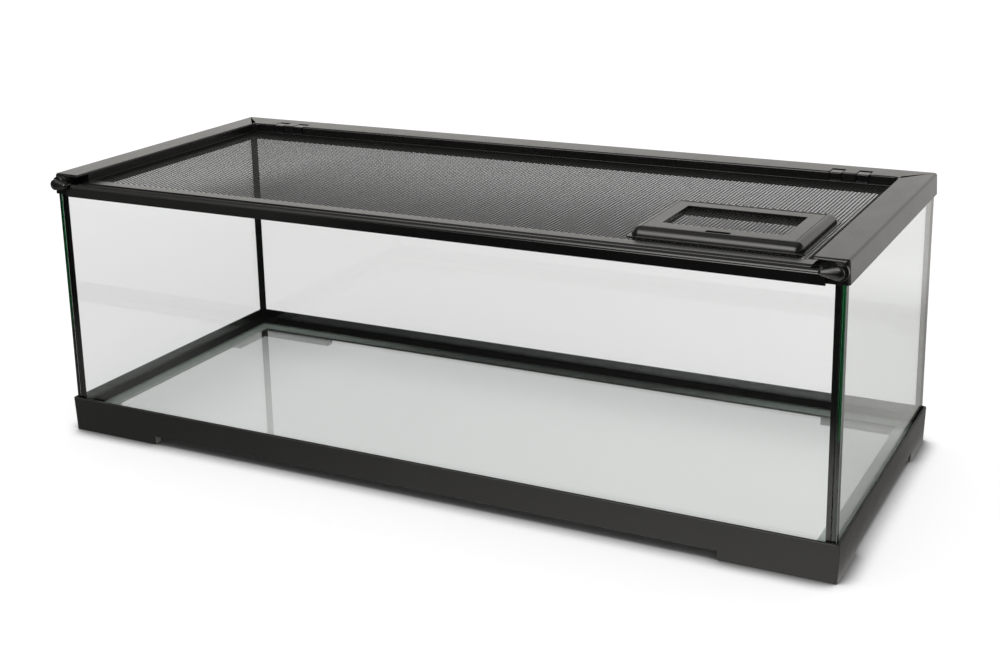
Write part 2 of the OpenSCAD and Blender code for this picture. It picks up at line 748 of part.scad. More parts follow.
module hatch_mesh() {
    w = window_w + 2 * mesh_lap - hold_fit;
    d = window_d + 2 * mesh_lap - hold_fit;
    color(sheet) at_hatch()
        perforated(-w / 2, w / 2, -d / 2, d / 2, door_z - mesh_t, mesh_pitch * mesh_group / 2,
                   mesh_hole * mesh_group / 2, 2 * mesh_lap, [0, 0, 0, 0]);
}

module hatch_hinge_pins() {
    color(metal) at_hatch() both_sides()
        translate([door_w / 2, barrel_y, barrel_z]) rod_x(hatch_pin_d / 2, hatch_pin_len);
}

// ---------------------------------------------------------------- latches

// Outline of the lever round its axis, pointing along +X
module lever_outline(tip_r, round_r) {
    tilt = asin((round_r - tip_r) / tip_at);
    circle(round_r);
    translate([tip_at, 0]) circle(tip_r);
    polygon([[round_r * sin(tilt), round_r * cos(tilt)],
             [tip_at + tip_r * sin(tilt), tip_r * cos(tilt)],
             [tip_at + tip_r * sin(tilt), -tip_r * cos(tilt)],
             [round_r * sin(tilt), -round_r * cos(tilt)]]);
}

// Lever of one side; at rest its tip points inwards over the end of the rail
module latch_lever(s) {
    color(plastic) translate([s * latch_x, 0, latch_z]) difference() {
        union() {
            rotate([90, 0, 0]) mirror([s > 0 ? 1 : 0, 0, 0]) {
                translate([0, 0, -lever_y]) linear_extrude(lever_t - lever_edge)
                    lever_outline(lever_tip_r, lever_r);
                translate([0, 0, -lever_y + lever_t - lever_edge]) linear_extrude(lever_edge)
                    lever_outline(lever_tip_r - lever_edge, lever_r - lever_edge);
                // nose that holds the rail down
                translate([tip_at, 0, -lever_y - nose_t]) cylinder(r = lever_tip_r, h = nose_t + past);
            }
            rod_y(shaft_d / 2, lever_y - past, shaft_end);
        }
        rod_y(latch_screw_d / 2 + hold_fit, lever_y - 2 * past, shaft_end + past);
    }
}

module latch_lever_left() { latch_lever(-1); }
module latch_lever_right() { latch_lever(1); }

// Screw with a broad head that keeps the shaft in the frame
module latch_screw(s) {
    color(metal) translate([s * latch_x, 0, latch_z]) {
        rod_y(latch_screw_d / 2, lever_y - past, shaft_end);
        rod_y(bush_r, shaft_end, shaft_end + latch_head_t);
    }
}

module latch_screw_left() { latch_screw(-1); }
module latch_screw_right() { latch_screw(1); }

// ---------------------------------------------------------------- assembly

base_frame();
bottom_glass();
front_glass();
back_glass();
left_glass();
right_glass();
silicone_front_left();
silicone_front_right();
silicone_back_left();
silicone_back_right();
silicone_floor();
top_frame();
lid_frame();
lid_mesh();
hinge_pin_left();
hinge_pin_right();
hatch_bezel();
hatch_backing_ring();
hatch_screws();
hatch_door();
hatch_mesh();
hatch_hinge_pins();
latch_lever_left();
latch_lever_right();
latch_screw_left();
latch_screw_right();
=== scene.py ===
"""Finish of a glass reptile terrarium: black moulded frames, a perforated lid with a feeding
hatch, two turning latches, five panes of float glass and their black silicone. Lengths are in
metres."""

from math import asin, cos, pi, radians, sin, sqrt

import bmesh
import bpy
from mathutils import Matrix, Vector


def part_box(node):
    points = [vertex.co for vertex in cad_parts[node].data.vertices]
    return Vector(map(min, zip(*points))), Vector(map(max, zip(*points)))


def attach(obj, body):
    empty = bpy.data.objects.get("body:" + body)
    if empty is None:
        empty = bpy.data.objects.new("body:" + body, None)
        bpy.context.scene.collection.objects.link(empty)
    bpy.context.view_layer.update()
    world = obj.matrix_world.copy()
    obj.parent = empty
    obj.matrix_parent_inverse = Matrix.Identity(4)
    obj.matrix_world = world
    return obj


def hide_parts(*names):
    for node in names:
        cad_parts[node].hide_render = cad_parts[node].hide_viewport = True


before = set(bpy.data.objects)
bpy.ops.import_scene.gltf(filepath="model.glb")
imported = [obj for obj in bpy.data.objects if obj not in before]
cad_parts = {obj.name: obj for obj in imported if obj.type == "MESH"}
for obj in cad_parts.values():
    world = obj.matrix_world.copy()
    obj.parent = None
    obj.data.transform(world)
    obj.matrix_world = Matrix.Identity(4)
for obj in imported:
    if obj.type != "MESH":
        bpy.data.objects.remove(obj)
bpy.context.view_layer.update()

MM = 0.001

# ------------------------------------------------------------------ camera

IMAGE = (1000, 667)
FOCAL_PX = 1509.08                       # focal length in pixels of the image
AXIS_PX = (500.0, 223.72)                # where the optical axis meets the image
EYE = Vector((0.7610, -1.4489, 0.6780))  # where the camera stands
YAW, PITCH, ROLL = radians(-27.19), radians(-14.58), radians(-1.08)
SENSOR = 36.0


def make_camera():
    ahead = Vector((sin(YAW) * cos(PITCH), cos(YAW) * cos(PITCH), sin(PITCH)))
    side = Vector((cos(YAW), -sin(YAW), 0))
    up = side.cross(ahead)
    right = cos(ROLL) * side + sin(ROLL) * up
    above = cos(ROLL) * up - sin(ROLL) * side
    data = bpy.data.cameras.new("camera")
    data.sensor_width = SENSOR
    data.lens = FOCAL_PX * SENSOR / IMAGE[0]
    data.shift_x = (IMAGE[0] / 2 - AXIS_PX[0]) / IMAGE[0]
    data.shift_y = (AXIS_PX[1] - IMAGE[1] / 2) / IMAGE[0]
    camera = bpy.data.objects.new("camera", data)
    turn = Matrix((right, above, -ahead)).transposed().to_4x4()
    camera.matrix_world = Matrix.Translation(EYE) @ turn
    bpy.context.scene.collection.objects.link(camera)
    bpy.context.scene.camera = camera


def let_light_run():
    """Enough bounces for a look along the whole length of a pane, from one end to the other."""
    cycles = bpy.context.scene.cycles
    cycles.max_bounces = 56
    cycles.glossy_bounces = 48
    cycles.transmission_bounces = 24


make_camera()
let_light_run()
bpy.context.scene.view_settings.view_transform = "Standard"

# ------------------------------------------------------------------ shader maths


def mathlike(operation, swapped=False):
    """A method that puts one Math node between a value and another value or number."""
    def method(self, other):
        pair = (other, self) if swapped else (self, other)
        return self.paint.math(operation, *pair)
    return method


class Value:
    """A number that changes over a surface; Python's operators add its Math nodes."""

    def __init__(self, paint, socket):
        self.paint, self.socket = paint, socket

    __add__ = __radd__ = mathlike("ADD")
    __mul__ = __rmul__ = mathlike("MULTIPLY")
    __sub__, __rsub__ = mathlike("SUBTRACT"), mathlike("SUBTRACT", swapped=True)


class Paint:
    """A material or a world, and the nodes that make it."""

    def __init__(self, owner):
        owner.use_nodes = True
        self.owner, self.tree = owner, owner.node_tree
        self.tree.nodes.clear()

    def node(self, kind, settings=None, inputs=None, output=0):
        """Adds a node, makes its settings, then fills its inputs with values or links."""
        made = self.tree.nodes.new(kind)
        for name, value in (settings or {}).items():
            setattr(made, name, value)
        for name, value in (inputs or {}).items():
            self.feed(made.inputs[name], value)
        return Value(self, made.outputs[output])

    def feed(self, socket, value):
        if isinstance(value, Value):
            self.tree.links.new(value.socket, socket)
        elif isinstance(value, tuple) and socket.type == "RGBA" and len(value) == 3:
            socket.default_value = (*value, 1)
        else:
            socket.default_value = value

    def math(self, operation, a, b=0.0):
        return self.node("ShaderNodeMath", {"operation": operation}, {0: a, 1: b})

    def limit(self, value, low=0.0, high=1.0):
        return self.node("ShaderNodeClamp", None, {"Value": value, "Min": low, "Max": high})

    def ramp(self, value, low, high):
        """0 where value is low, 1 where it is high, and smooth between them."""
        return self.node("ShaderNodeMapRange", {"interpolation_type": "SMOOTHSTEP"},
                         {"Value": value, "From Min": low, "From Max": high})

    def blend(self, share, first, second):
        """The first colour where share is 0, and the second where it is 1."""
        colours = {0: share, 6: first, 7: second}
        return self.node("ShaderNodeMix", {"data_type": "RGBA"}, colours, 2)

    def dimmed(self, colour, factor):
        settings = {"operation": "SCALE"}
        return self.node("ShaderNodeVectorMath", settings, {0: colour, "Scale": factor})

    def place(self):
        return self.node("ShaderNodeTexCoord", output="Object")

    def parts(self, vector):
        made = self.node("ShaderNodeSeparateXYZ", None, {0: vector})
        return [Value(self, made.socket.node.outputs[i]) for i in range(3)]

    def noise(self, scale, detail=3.0, roughness=0.5, stretch=None):
        """Clouds of this many to a metre, or as many times more along an axis as stretch says."""
        vector = self.place()
        if stretch:
            vector = self.node("ShaderNodeMapping", None, {"Vector": vector, "Scale": stretch})
        return self.node("ShaderNodeTexNoise", {"noise_dimensions": "3D"},
                         {"Vector": vector, "Scale": scale, "Detail": detail,
                          "Roughness": roughness})

    def bump(self, height, distance, strength=1.0, normal=None):
        inputs = {"Height": height, "Distance": distance, "Strength": strength}
        if normal:
            inputs["Normal"] = normal
        return self.node("ShaderNodeBump", None, inputs)

    def rays(self, *kinds):
        """1 for rays of these kinds and 0 for others."""
        path = self.node("ShaderNodeLightPath").socket.node
        total = Value(self, path.outputs[kinds[0]])
        for kind in kinds[1:]:
            total = self.math("MAXIMUM", total, Value(self, path.outputs[kind]))
        return total

    def depth(self, kind):
        """How many bounces of a kind the ray has behind it."""
        path = self.node("ShaderNodeLightPath").socket.node
        return Value(self, path.outputs[kind + " Depth"])

    def mirrored(self):
        """1 for rays that a glossy surface has reflected, and 0 for light that falls on things."""
        reflected = self.math("GREATER_THAN", self.depth("Glossy"), 0.5)
        return reflected * (1 - self.rays("Is Diffuse Ray"))

    def surface(self, shader):
        of_world = isinstance(self.owner, bpy.types.World)
        kind = "ShaderNodeOutputWorld" if of_world else "ShaderNodeOutputMaterial"
        self.end = self.tree.nodes.new(kind)
        self.tree.links.new(shader.socket, self.end.inputs["Surface"])

    def volume(self, shader):
        self.tree.links.new(shader.socket, self.end.inputs["Volume"])

    def principled(self, **inputs):
        return self.node("ShaderNodeBsdfPrincipled", None,
                         {name.replace("_", " "): value for name, value in inputs.items()})


def new_material(name):
    return Paint(bpy.data.materials.new(name))


# ------------------------------------------------------------------ finishes

SHELF_X, SHELF_Y = 453.0 * MM, 186.0 * MM    # half sizes of the room inside the walls of the base
SHELF_TOP = 20.1 * MM                        # just above the shelf that carries the bottom glass
SHELF_FACE = 19.6 * MM                       # just under the upper face of that shelf
RAIL_NOSE_Y = -186.3 * MM                    # in front of this is the nose of the lid's rail
SMUDGE = 0.06                                # how much handling marks change the roughness


def painted_glass_reflection(paint):
    """Painted reflection of the white room in the bottom glass, grey on the base under that glass:
    more on the upper face of the shelf than on the walls, and mostly at the ends.
    """
    x, y, z = paint.parts(paint.place())
    across, along = paint.math("ABSOLUTE", x), paint.math("ABSOLUTE", y)
    inner = paint.math("LESS_THAN", across, SHELF_X) * paint.math("LESS_THAN", along, SHELF_Y)
    ends = 0.25 + paint.ramp(across, 0.10, 0.42) * 0.75
    top = 0.30 + paint.math("GREATER_THAN", z, SHELF_FACE) * 0.70
    return inner * paint.math("LESS_THAN", z, SHELF_TOP) * ends * top


def worn_nose(paint):
    """Change of roughness along the nose of the lid's rail, from dull at its left to polished."""
    x, y, _ = paint.parts(paint.place())
    nose = paint.math("LESS_THAN", y, RAIL_NOSE_Y)
    return nose * (0.43 - paint.ramp(x, -0.38, 0.25) * 0.50)


def moulded_plastic(name, colour, gloss, painted_reflection_grey=0.0, wear=None):
    """Black moulded plastic: a fine grain, a slow warp of the wall, and handling marks."""
    paint = new_material(name)
    clouds = paint.noise(9.0, 4.0, 0.6)
    marks = paint.noise(38.0, 5.0, 0.65, stretch=(1.0, 0.45, 1.0))
    fine = paint.noise(2600.0, 2.0, 0.5)
    warp = paint.noise(5.5, 2.0, 0.4)
    dust = paint.ramp(clouds * 0.6 + marks * 0.4, 0.40, 0.72)
    tone = paint.blend(dust, colour, tuple(c * 1.5 + 0.001 for c in colour))
    # where given, a painted reflection of the white room in the bottom glass greys the base under
    # that glass
    if painted_reflection_grey:
        tone = paint.blend(painted_glass_reflection(paint), tone, (painted_reflection_grey, painted_reflection_grey, painted_reflection_grey * 0.97))
    rough = gloss + (marks - 0.5) * SMUDGE * 2 + (clouds - 0.5) * SMUDGE
    if wear:
        rough = rough + wear(paint)
    normal = paint.bump(warp, 1.4 * MM, 0.25)
    normal = paint.bump(fine, 0.05 * MM, 0.2, normal)
    paint.surface(paint.principled(Base_Color=tone, Roughness=rough, IOR=1.47,
                                   Specular_IOR_Level=0.42, Normal=normal))
    return paint.owner


def coated_sheet():
    """Black powder coat on perforated sheet, with slow changes of gloss and a fine peel."""
    paint = new_material("powder_coat")
    cloud = paint.noise(14.0, 3.0)
    peel = paint.noise(1500.0, 2.0)
    tone = paint.blend(cloud, (0.010, 0.010, 0.0095), (0.018, 0.0175, 0.017))
    rough = 0.42 + (cloud - 0.5) * 0.16
    paint.surface(paint.principled(Base_Color=tone, Roughness=rough, IOR=1.35,
                                   Specular_IOR_Level=0.08,
                                   Normal=paint.bump(peel, 0.03 * MM, 0.3)))
    return paint.owner


GREEN_LOSS = (12.0, 6.0, 9.0)    # what float glass takes off red, green and blue in a metre


def float_glass():
    """Clear float glass: green along the length of a pane, and lamps shine through it."""
    paint = new_material("float_glass")
    wave = paint.noise(16.0, 1.0, 0.3)
    film = paint.ramp(paint.noise(7.0, 4.0, 0.6), 0.45, 0.85)
    glass = paint.principled(Base_Color=(1.0, 1.0, 1.0), Transmission_Weight=1.0, IOR=1.52,
                             Roughness=film * 0.012, Normal=paint.bump(wave, 0.02 * MM, 0.1))
    clear = paint.node("ShaderNodeBsdfTransparent", None, {"Color": (0.93, 0.95, 0.94)})
    shadow = paint.rays("Is Shadow Ray")
    paint.surface(paint.node("ShaderNodeMixShader", None, {0: shadow, 1: glass, 2: clear}))
    density = max(GREEN_LOSS) * 1.1
    kept = tuple(1 - loss / density for loss in GREEN_LOSS)
    paint.volume(paint.node("ShaderNodeVolumeAbsorption", None,
                            {"Color": kept, "Density": density}))
    return paint.owner


def ground_glass():
    """The ground arris round a pane: frosted, so it catches light as a thin pale line."""
    paint = new_material("ground_edge")
    chips = paint.noise(420.0, 3.0, 0.6)
    tone = paint.blend(chips, (0.17, 0.19, 0.18), (0.30, 0.32, 0.31))
    paint.surface(paint.principled(Base_Color=tone, Roughness=0.45 + (chips - 0.5) * 0.2,
                                   Normal=paint.bump(chips, 0.06 * MM, 0.4)))
    return paint.owner


def black_silicone():
    """Tooled black silicone, with slow ripples along the bead and the drag of the tool."""
    paint = new_material("black_silicone")
    ripple = paint.noise(60.0, 2.0, 0.5)
    drag = paint.noise(240.0, 3.0, 0.6)
    tone = paint.blend(drag, (0.006, 0.006, 0.006), (0.012, 0.012, 0.012))
    normal = paint.bump(ripple, 0.4 * MM, 0.12)
    normal = paint.bump(drag, 0.05 * MM, 0.12, normal)
    paint.surface(paint.principled(Base_Color=tone, Roughness=0.24 + ripple * 0.14, IOR=1.41,
                                   Specular_IOR_Level=0.03, Normal=normal))
    return paint.owner


def drawn_steel(name, colour, gloss):
    """Drawn wire or a screw: fine lines round it and small changes of gloss."""
    paint = new_material(name)
    lines = paint.noise(900.0, 2.0, stretch=(0.06, 1.0, 1.0))
    tone = paint.blend(lines, colour, tuple(c * 0.8 for c in colour))
    rough = gloss + (lines - 0.5) * 0.1
    paint.surface(paint.principled(Base_Color=tone, Metallic=1.0, Roughness=rough,
                                   Normal=paint.bump(lines, 0.02 * MM, 0.3)))
    return paint.owner


FRAME_BLACK = moulded_plastic("frame_black", (0.0060, 0.0060, 0.0057), 0.26)
# the base has a painted reflection of the white room greying it under the bottom glass
BASE_BLACK = moulded_plastic("base_black", (0.0070, 0.0070, 0.0067), 0.46, painted_reflection_grey=0.95)
LID_BLACK = moulded_plastic("lid_black", (0.0050, 0.0050, 0.0050), 0.21, wear=worn_nose)
HATCH_BLACK = moulded_plastic("hatch_black", (0.0065, 0.0064, 0.0060), 0.24)
LATCH_BLACK = moulded_plastic("latch_black", (0.0050, 0.0050, 0.0050), 0.22)
POWDER_COAT = coated_sheet()
GLASS = float_glass()
GROUND = ground_glass()
SILICONE = black_silicone()
STEEL = drawn_steel("drawn_steel", (0.55, 0.55, 0.56), 0.30)
BLACK_SCREW = drawn_steel("black_screw", (0.06, 0.06, 0.06), 0.38)

# ------------------------------------------------------------------ shapes


def add_piece(name, mesh, finishes, body, slot, *nodes):
    """Puts a mesh in the scene as a piece on its body, in place of these CAD nodes."""
    piece = bpy.data.objects.new(name, mesh)
    if list(mesh.materials) != finishes:
        mesh.materials.clear()
        for finish in finishes:
            mesh.materials.append(finish)
    bpy.context.scene.collection.objects.link(piece)
    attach(piece, body)
    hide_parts(*nodes)


def freeze(mesh, *modifiers):
    """The mesh after these modifiers, each given as a kind and its settings."""
    carrier = bpy.data.objects.new("carrier", mesh)
    bpy.context.scene.collection.objects.link(carrier)
    for kind, settings in modifiers:
        modifier = carrier.modifiers.new(kind, kind)
        for name, value in settings.items():
            if name == "sizes":
                set_sizes(modifier, value)
            else:
                setattr(modifier, name, value)
    graph = bpy.context.evaluated_depsgraph_get()
    done = bpy.data.meshes.new_from_object(carrier.evaluated_get(graph))
    bpy.data.objects.remove(carrier)
    return done


def set_sizes(modifier, sizes):
    """Sets the named inputs of a Geometry Nodes modifier."""
    for item in modifier.node_group.interface.items_tree:
        if item.item_type == "SOCKET" and item.in_out == "INPUT" and item.name in sizes:
            modifier[item.identifier] = sizes[item.name]


SHARP_TURN = radians(24)                  # an edge that turns more than this is a sharp one
SAME_CORNER = 0.004 * MM                  # corners closer than this are one corner


def join_faces(mesh, wide=None, other_share=0.0):
    """Joins the loose triangles of a CAD node's copy at their shared corners, and gives each sharp
    edge its share of the rounding: all of it where wide is true of both its ends, or where there
    is no wide to ask, and other_share elsewhere."""
    work = bmesh.new()
    work.from_mesh(mesh)
    bmesh.ops.remove_doubles(work, verts=work.verts, dist=SAME_CORNER)
    share = work.edges.layers.float.new("bevel_weight_edge")
    for edge in work.edges:
        if len(edge.link_faces) == 2 and edge.calc_face_angle() > SHARP_TURN:
            whole = not wide or all(wide(corner.co) for corner in edge.verts)
            edge[share] = 1.0 if whole else other_share
    for face in work.faces:
        face.smooth = True
    work.to_mesh(mesh)
    work.free()


def softened(node, width, segments, wide, wide_width):
    """Mesh of a CAD node with its sharp edges rounded, as a mould leaves them. Where wide is
    given, the edges that it picks are rounded to wide_width."""
    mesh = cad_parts[node].data.copy()
    largest = wide_width if wide else width
    join_faces(mesh, wide, width / largest)
    return freeze(mesh,
                  ("BEVEL", {"width": largest, "segments": segments, "limit_method": "WEIGHT",
                             "use_clamp_overlap": False, "miter_outer": "MITER_ARC"}),
                  ("WEIGHTED_NORMAL", {"keep_sharp": True, "weight": 50}))


def soften_node(node, body, slot, finish, width, segments=3, grow=0.0, wide=None, wide_width=0.0):
    """Makes a piece of a CAD node with its edges rounded and, for silicone, its faces swollen."""
    mesh = softened(node, width, segments, wide, wide_width)
    if grow:
        mesh = freeze(mesh, ("DISPLACE", {"strength": grow, "mid_level": 0.0}))
    add_piece(node + "_moulded", mesh, [finish], body, slot, node)


# ------------------------------------------------------------------ perforated sheet

SHEET_THICKNESS = 0.35 * MM
HOLE_PITCH = 4.5 * MM
HOLE_WIDTH = 3.3 * MM
LATTICE_MERGE = 0.05 * MM                 # points of the lattice closer than this are one
SHEET_MERGE = 0.02 * MM                   # and so are points of the sheet closer than this
RING_WIDTH = 14 * MM                      # of the ring that clamps the sheet round the hatch


class Tree:
    """A Geometry Nodes tree in the making."""

    def __init__(self, name, **sizes):
        self.tree = bpy.data.node_groups.new(name, "GeometryNodeTree")
        sockets = self.tree.interface
        sockets.new_socket("Geometry", in_out="INPUT", socket_type="NodeSocketGeometry")
        sockets.new_socket("Geometry", in_out="OUTPUT", socket_type="NodeSocketGeometry")
        for size, value in sizes.items():
            socket = sockets.new_socket(size.replace("_", " "), in_out="INPUT",
                                        socket_type="NodeSocketFloat")
            socket.default_value = value
        self.given = self.tree.nodes.new("NodeGroupInput")

    def size(self, name):
        return self.given.outputs[name]

    def node(self, kind, settings=None, inputs=None):
        """Adds a node with these settings and inputs, and gives its first output."""
        made = self.tree.nodes.new(kind)
        for name, value in (settings or {}).items():
            setattr(made, name, value)
        for name, value in (inputs or {}).items():
            if isinstance(value, bpy.types.NodeSocket):
                self.tree.links.new(value, made.inputs[name])
            else:
                made.inputs[name].default_value = value
        return made.outputs[0]

    def math(self, operation, a, b=0.0, c=0.0):
        return self.node("ShaderNodeMath", {"operation": operation}, {0: a, 1: b, 2: c})

    def both(self, a, b):
        return self.node("FunctionNodeBooleanMath", {"operation": "AND"}, {0: a, 1: b})

    def above(self, a, b):
        settings = {"data_type": "FLOAT", "operation": "GREATER_THAN"}
        return self.node("FunctionNodeCompare", settings, {"A": a, "B": b})

    def between(self, value, low, high):
        return self.both(self.above(value, self.size(low)), self.above(self.size(high), value))

    def parts(self, vector):
        made = self.node("ShaderNodeSeparateXYZ", None, {0: vector}).node
        return made.outputs[0], made.outputs[1], made.outputs[2]

    def finish(self, geometry):
        out = self.tree.nodes.new("NodeGroupOutput")
        self.tree.links.new(geometry, out.inputs[0])
        return self.tree


def perforated_tree():
    """Sheet with staggered hexagonal holes. Its cells are the dual of a lattice of triangles, each
    cell is inset to its hole, and only the cells in one strip and outside the cut-out are kept."""
    t = Tree("perforated_sheet", Low_X=0.0, High_X=1.0, Low_Y=0.0, High_Y=1.0, Level=0.0,
             Thickness=SHEET_THICKNESS, Pitch=HOLE_PITCH, Hole=HOLE_WIDTH, Strip_Start=-1.0,
             Strip_End=1.0, Cut_Low_X=0.0, Cut_High_X=0.0, Cut_Low_Y=0.0, Cut_High_Y=0.0)
    width = t.math("SUBTRACT", t.size("High X"), t.size("Low X"))
    depth = t.math("SUBTRACT", t.size("High Y"), t.size("Low Y"))
    step = t.math("MULTIPLY", t.size("Pitch"), sqrt(3) / 2)
    columns = t.math("ROUND", t.math("DIVIDE", width, step))
    rows = t.math("CEIL", t.math("DIVIDE", depth, t.size("Pitch")))
    grid = t.node("GeometryNodeMeshGrid", None,
                  {"Size X": 1.0, "Size Y": 1.0, "Vertices X": t.math("ADD", columns, 1.0),
                   "Vertices Y": t.math("ADD", rows, 2.0)})
    # column and row of each point, then its place: every other column is half a pitch lower
    x, y, _ = t.parts(t.node("GeometryNodeInputPosition"))
    column = t.math("ROUND", t.math("MULTIPLY", t.math("ADD", x, 0.5), columns))
    row = t.math("ROUND", t.math("MULTIPLY", t.math("ADD", y, 0.5), t.math("ADD", rows, 1.0)))
    odd = t.math("MODULO", column, 2.0)
    place_x = t.math("MULTIPLY_ADD", column, t.math("DIVIDE", width, columns), t.size("Low X"))
    lifted = t.math("SUBTRACT", row, t.math("MULTIPLY", odd, 0.5))
    free_y = t.math("MULTIPLY_ADD", lifted, t.size("Pitch"), t.size("Low Y"))
    place_y = t.math("MINIMUM", t.math("MAXIMUM", free_y, t.size("Low Y")), t.size("High Y"))
    place = t.node("ShaderNodeCombineXYZ", None, {0: place_x, 1: place_y, 2: t.size("Level")})
    moved = t.node("GeometryNodeSetPosition", None, {"Geometry": grid, "Position": place})
    merged = t.node("GeometryNodeMergeByDistance", None,
                    {"Geometry": moved, "Distance": LATTICE_MERGE})
    lattice = t.node("GeometryNodeTriangulate", None, {"Mesh": merged})
    cells = t.node("GeometryNodeDualMesh", None, {"Mesh": lattice, "Keep Boundaries": True})
    # the strip, less the cut-out
    cx, cy, _ = t.parts(t.node("GeometryNodeInputPosition"))
    inside = t.between(cx, "Strip Start", "Strip End")
    cut = t.both(t.between(cx, "Cut Low X", "Cut High X"),
                 t.between(cy, "Cut Low Y", "Cut High Y"))
    wanted = t.node("FunctionNodeBooleanMath", {"operation": "NIMPLY"}, {0: inside, 1: cut})
    kept = t.node("GeometryNodeSeparateGeometry", {"domain": "FACE"},
                  {"Geometry": cells, "Selection": wanted})
    # each cell inset to its hole
    rim = t.node("GeometryNodeExtrudeMesh", None,
                 {"Mesh": kept, "Offset Scale": 0.0, "Individual": True}).node
    share = t.math("DIVIDE", t.size("Hole"), t.size("Pitch"))
    shrunk = t.node("GeometryNodeScaleElements", {"domain": "FACE"},
                    {"Geometry": rim.outputs["Mesh"], "Selection": rim.outputs["Top"],
                     "Scale": share})
    holed = t.node("GeometryNodeDeleteGeometry", {"domain": "FACE"},
                   {"Geometry": shrunk, "Selection": rim.outputs["Top"]})
    sheet = t.node("GeometryNodeMergeByDistance", None,
                   {"Geometry": holed, "Distance": SHEET_MERGE})
    # its thickness, as walls and an upper face over a lower one
    top = t.node("GeometryNodeExtrudeMesh", None,
                 {"Mesh": sheet, "Offset": (0.0, 0.0, 1.0), "Offset Scale": t.size("Thickness"),
                  "Individual": False})
    under = t.node("GeometryNodeFlipFaces", None, {"Mesh": sheet})
    joined = t.tree.nodes.new("GeometryNodeJoinGeometry")
    t.tree.links.new(top, joined.inputs[0])
    t.tree.links.new(under, joined.inputs[0])
    closed = t.node("GeometryNodeMergeByDistance", None,
                    {"Geometry": joined.outputs[0], "Distance": SHEET_MERGE})
    real = t.node("GeometryNodeRealizeInstances", None, {"Geometry": closed})
    coated = t.node("GeometryNodeSetMaterial", None, {"Geometry": real, "Material": POWDER_COAT})
    return t.finish(coated)


def perforated(name, tree, low, high, strip, cut, body, node):
    """One strip of a perforated sheet that fills the box of a CAD node, less a cut-out."""
    sizes = {"Low X": low.x, "High X": high.x, "Low Y": low.y, "High Y": high.y,
             "Level": high.z - SHEET_THICKNESS, "Thickness": SHEET_THICKNESS,
             "Pitch": HOLE_PITCH, "Hole": HOLE_WIDTH,
             "Strip Start": strip[0], "Strip End": strip[1],
             "Cut Low X": cut[0], "Cut High X": cut[1], "Cut Low Y": cut[2], "Cut High Y": cut[3]}
    mesh = freeze(bpy.data.meshes.new(name), ("NODES", {"node_group": tree, "sizes": sizes}))
    add_piece(name, mesh, [POWDER_COAT], body, "mesh", node)


def dress_sheets():
    """The lid's sheet in four strips, each within the limit of triangles, and the hatch's sheet.
    The cut-out for the hatch ends one pitch outside the opening of the ring that clamps it."""
    tree = perforated_tree()
    low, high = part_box("lid_mesh")
    ring_low, ring_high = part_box("hatch_backing_ring")
    inset = RING_WIDTH - HOLE_PITCH
    cut = (ring_low.x + inset, ring_high.x - inset, ring_low.y + inset, ring_high.y - inset)
    strips = ("left", "mid_left", "mid_right", "right")
    step = (high.x - low.x) / len(strips)
    for i, part in enumerate(strips):
        start = low.x + i * step
        strip = (start, start + step)
        perforated("lid_sheet_" + part, tree, low, high, strip, cut, "lid", "lid_mesh")
    low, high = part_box("hatch_mesh")
    everything, nothing = (low.x - 1, high.x + 1), (0, 0, 0, 0)
    perforated("hatch_sheet", tree, low, high, everything, nothing, "hatch_door", "hatch_mesh")


# ------------------------------------------------------------------ latch levers

LEVER_ROUND, LEVER_TIP = 6.1 * MM, 3.2 * MM     # radii of its round end and its tip
LEVER_REACH = 14.3 * MM                         # from the middle of one to that of the other
LEVER_THICK = 8.0 * MM
LEVER_NOSE = 1.9 * MM                           # length of the nose behind the tip
NOSE_SLACK = 0.02 * MM                          # how much thinner that nose is than the tip
# from the lever's back to its ridge: the share of its outline, and the depth behind its front
LEVER_CROWN = ((1.0, LEVER_THICK), (1.0, 2.6 * MM), (0.985, 2.15 * MM), (0.93, 1.75 * MM),
               (0.60, 1.0 * MM), (0.30, 0.40 * MM), (0.12, 0.12 * MM), (0.04, 0.02 * MM))
SHAFT_RADIUS = 2.5 * MM
SUNK = 0.5 * MM                                 # how deep the shaft and the nose start inside it
ARC_STEPS, SIDE_STEPS, ROD_SIDES = 14, 6, 32
CREASE = radians(38)                            # a lever's edge that turns more stays sharp


def lever_arc(middle, radius, start, sweep):
    """Points round one end of a lever, each with how far along the middle line that end is."""
    turns = [start + sweep * i / ARC_STEPS for i in range(ARC_STEPS + 1)]
    return [(middle + radius * cos(turn), radius * sin(turn), middle) for turn in turns]


def lever_side(tilt, sign):
    """Points along one straight side of a lever, from its round end to its tip."""
    points = []
    for i in range(1, SIDE_STEPS):
        share = i / SIDE_STEPS
        radius = LEVER_ROUND + (LEVER_TIP - LEVER_ROUND) * share
        middle = LEVER_REACH * share
        points.append((middle + radius * sin(tilt), sign * radius * cos(tilt), middle))
    return points


def lever_outline():
    """Points round a lever that points along +X, and how far along its middle line each one is."""
    tilt = asin((LEVER_ROUND - LEVER_TIP) / LEVER_REACH)
    outline = lever_arc(0.0, LEVER_ROUND, pi / 2 - tilt, pi + 2 * tilt)
    outline += lever_side(tilt, -1)
    outline += lever_arc(LEVER_REACH, LEVER_TIP, -pi / 2 + tilt, pi - 2 * tilt)
    outline += lever_side(tilt, 1)[::-1]
    return outline


def close_tube(work, rings):
    """Skins closed rings of vertices one after another and caps both ends."""
    for first, second in zip(rings, rings[1:]):
        for i in range(len(first)):
            j = (i + 1) % len(first)
            work.faces.new((first[i], first[j], second[j], second[i]))
    work.faces.new(rings[0][::-1])
    work.faces.new(rings[-1])


def ring_y(work, x, y, z, radius):
    """A circle of vertices round an axis along Y."""
    turns = [2 * pi * i / ROD_SIDES for i in range(ROD_SIDES)]
    return [work.verts.new((x + radius * cos(turn), y, z + radius * sin(turn))) for turn in turns]


def rod_y(work, x, z, radius, start, end):
    close_tube(work, [ring_y(work, x, y, z, radius) for y in (start, end)])


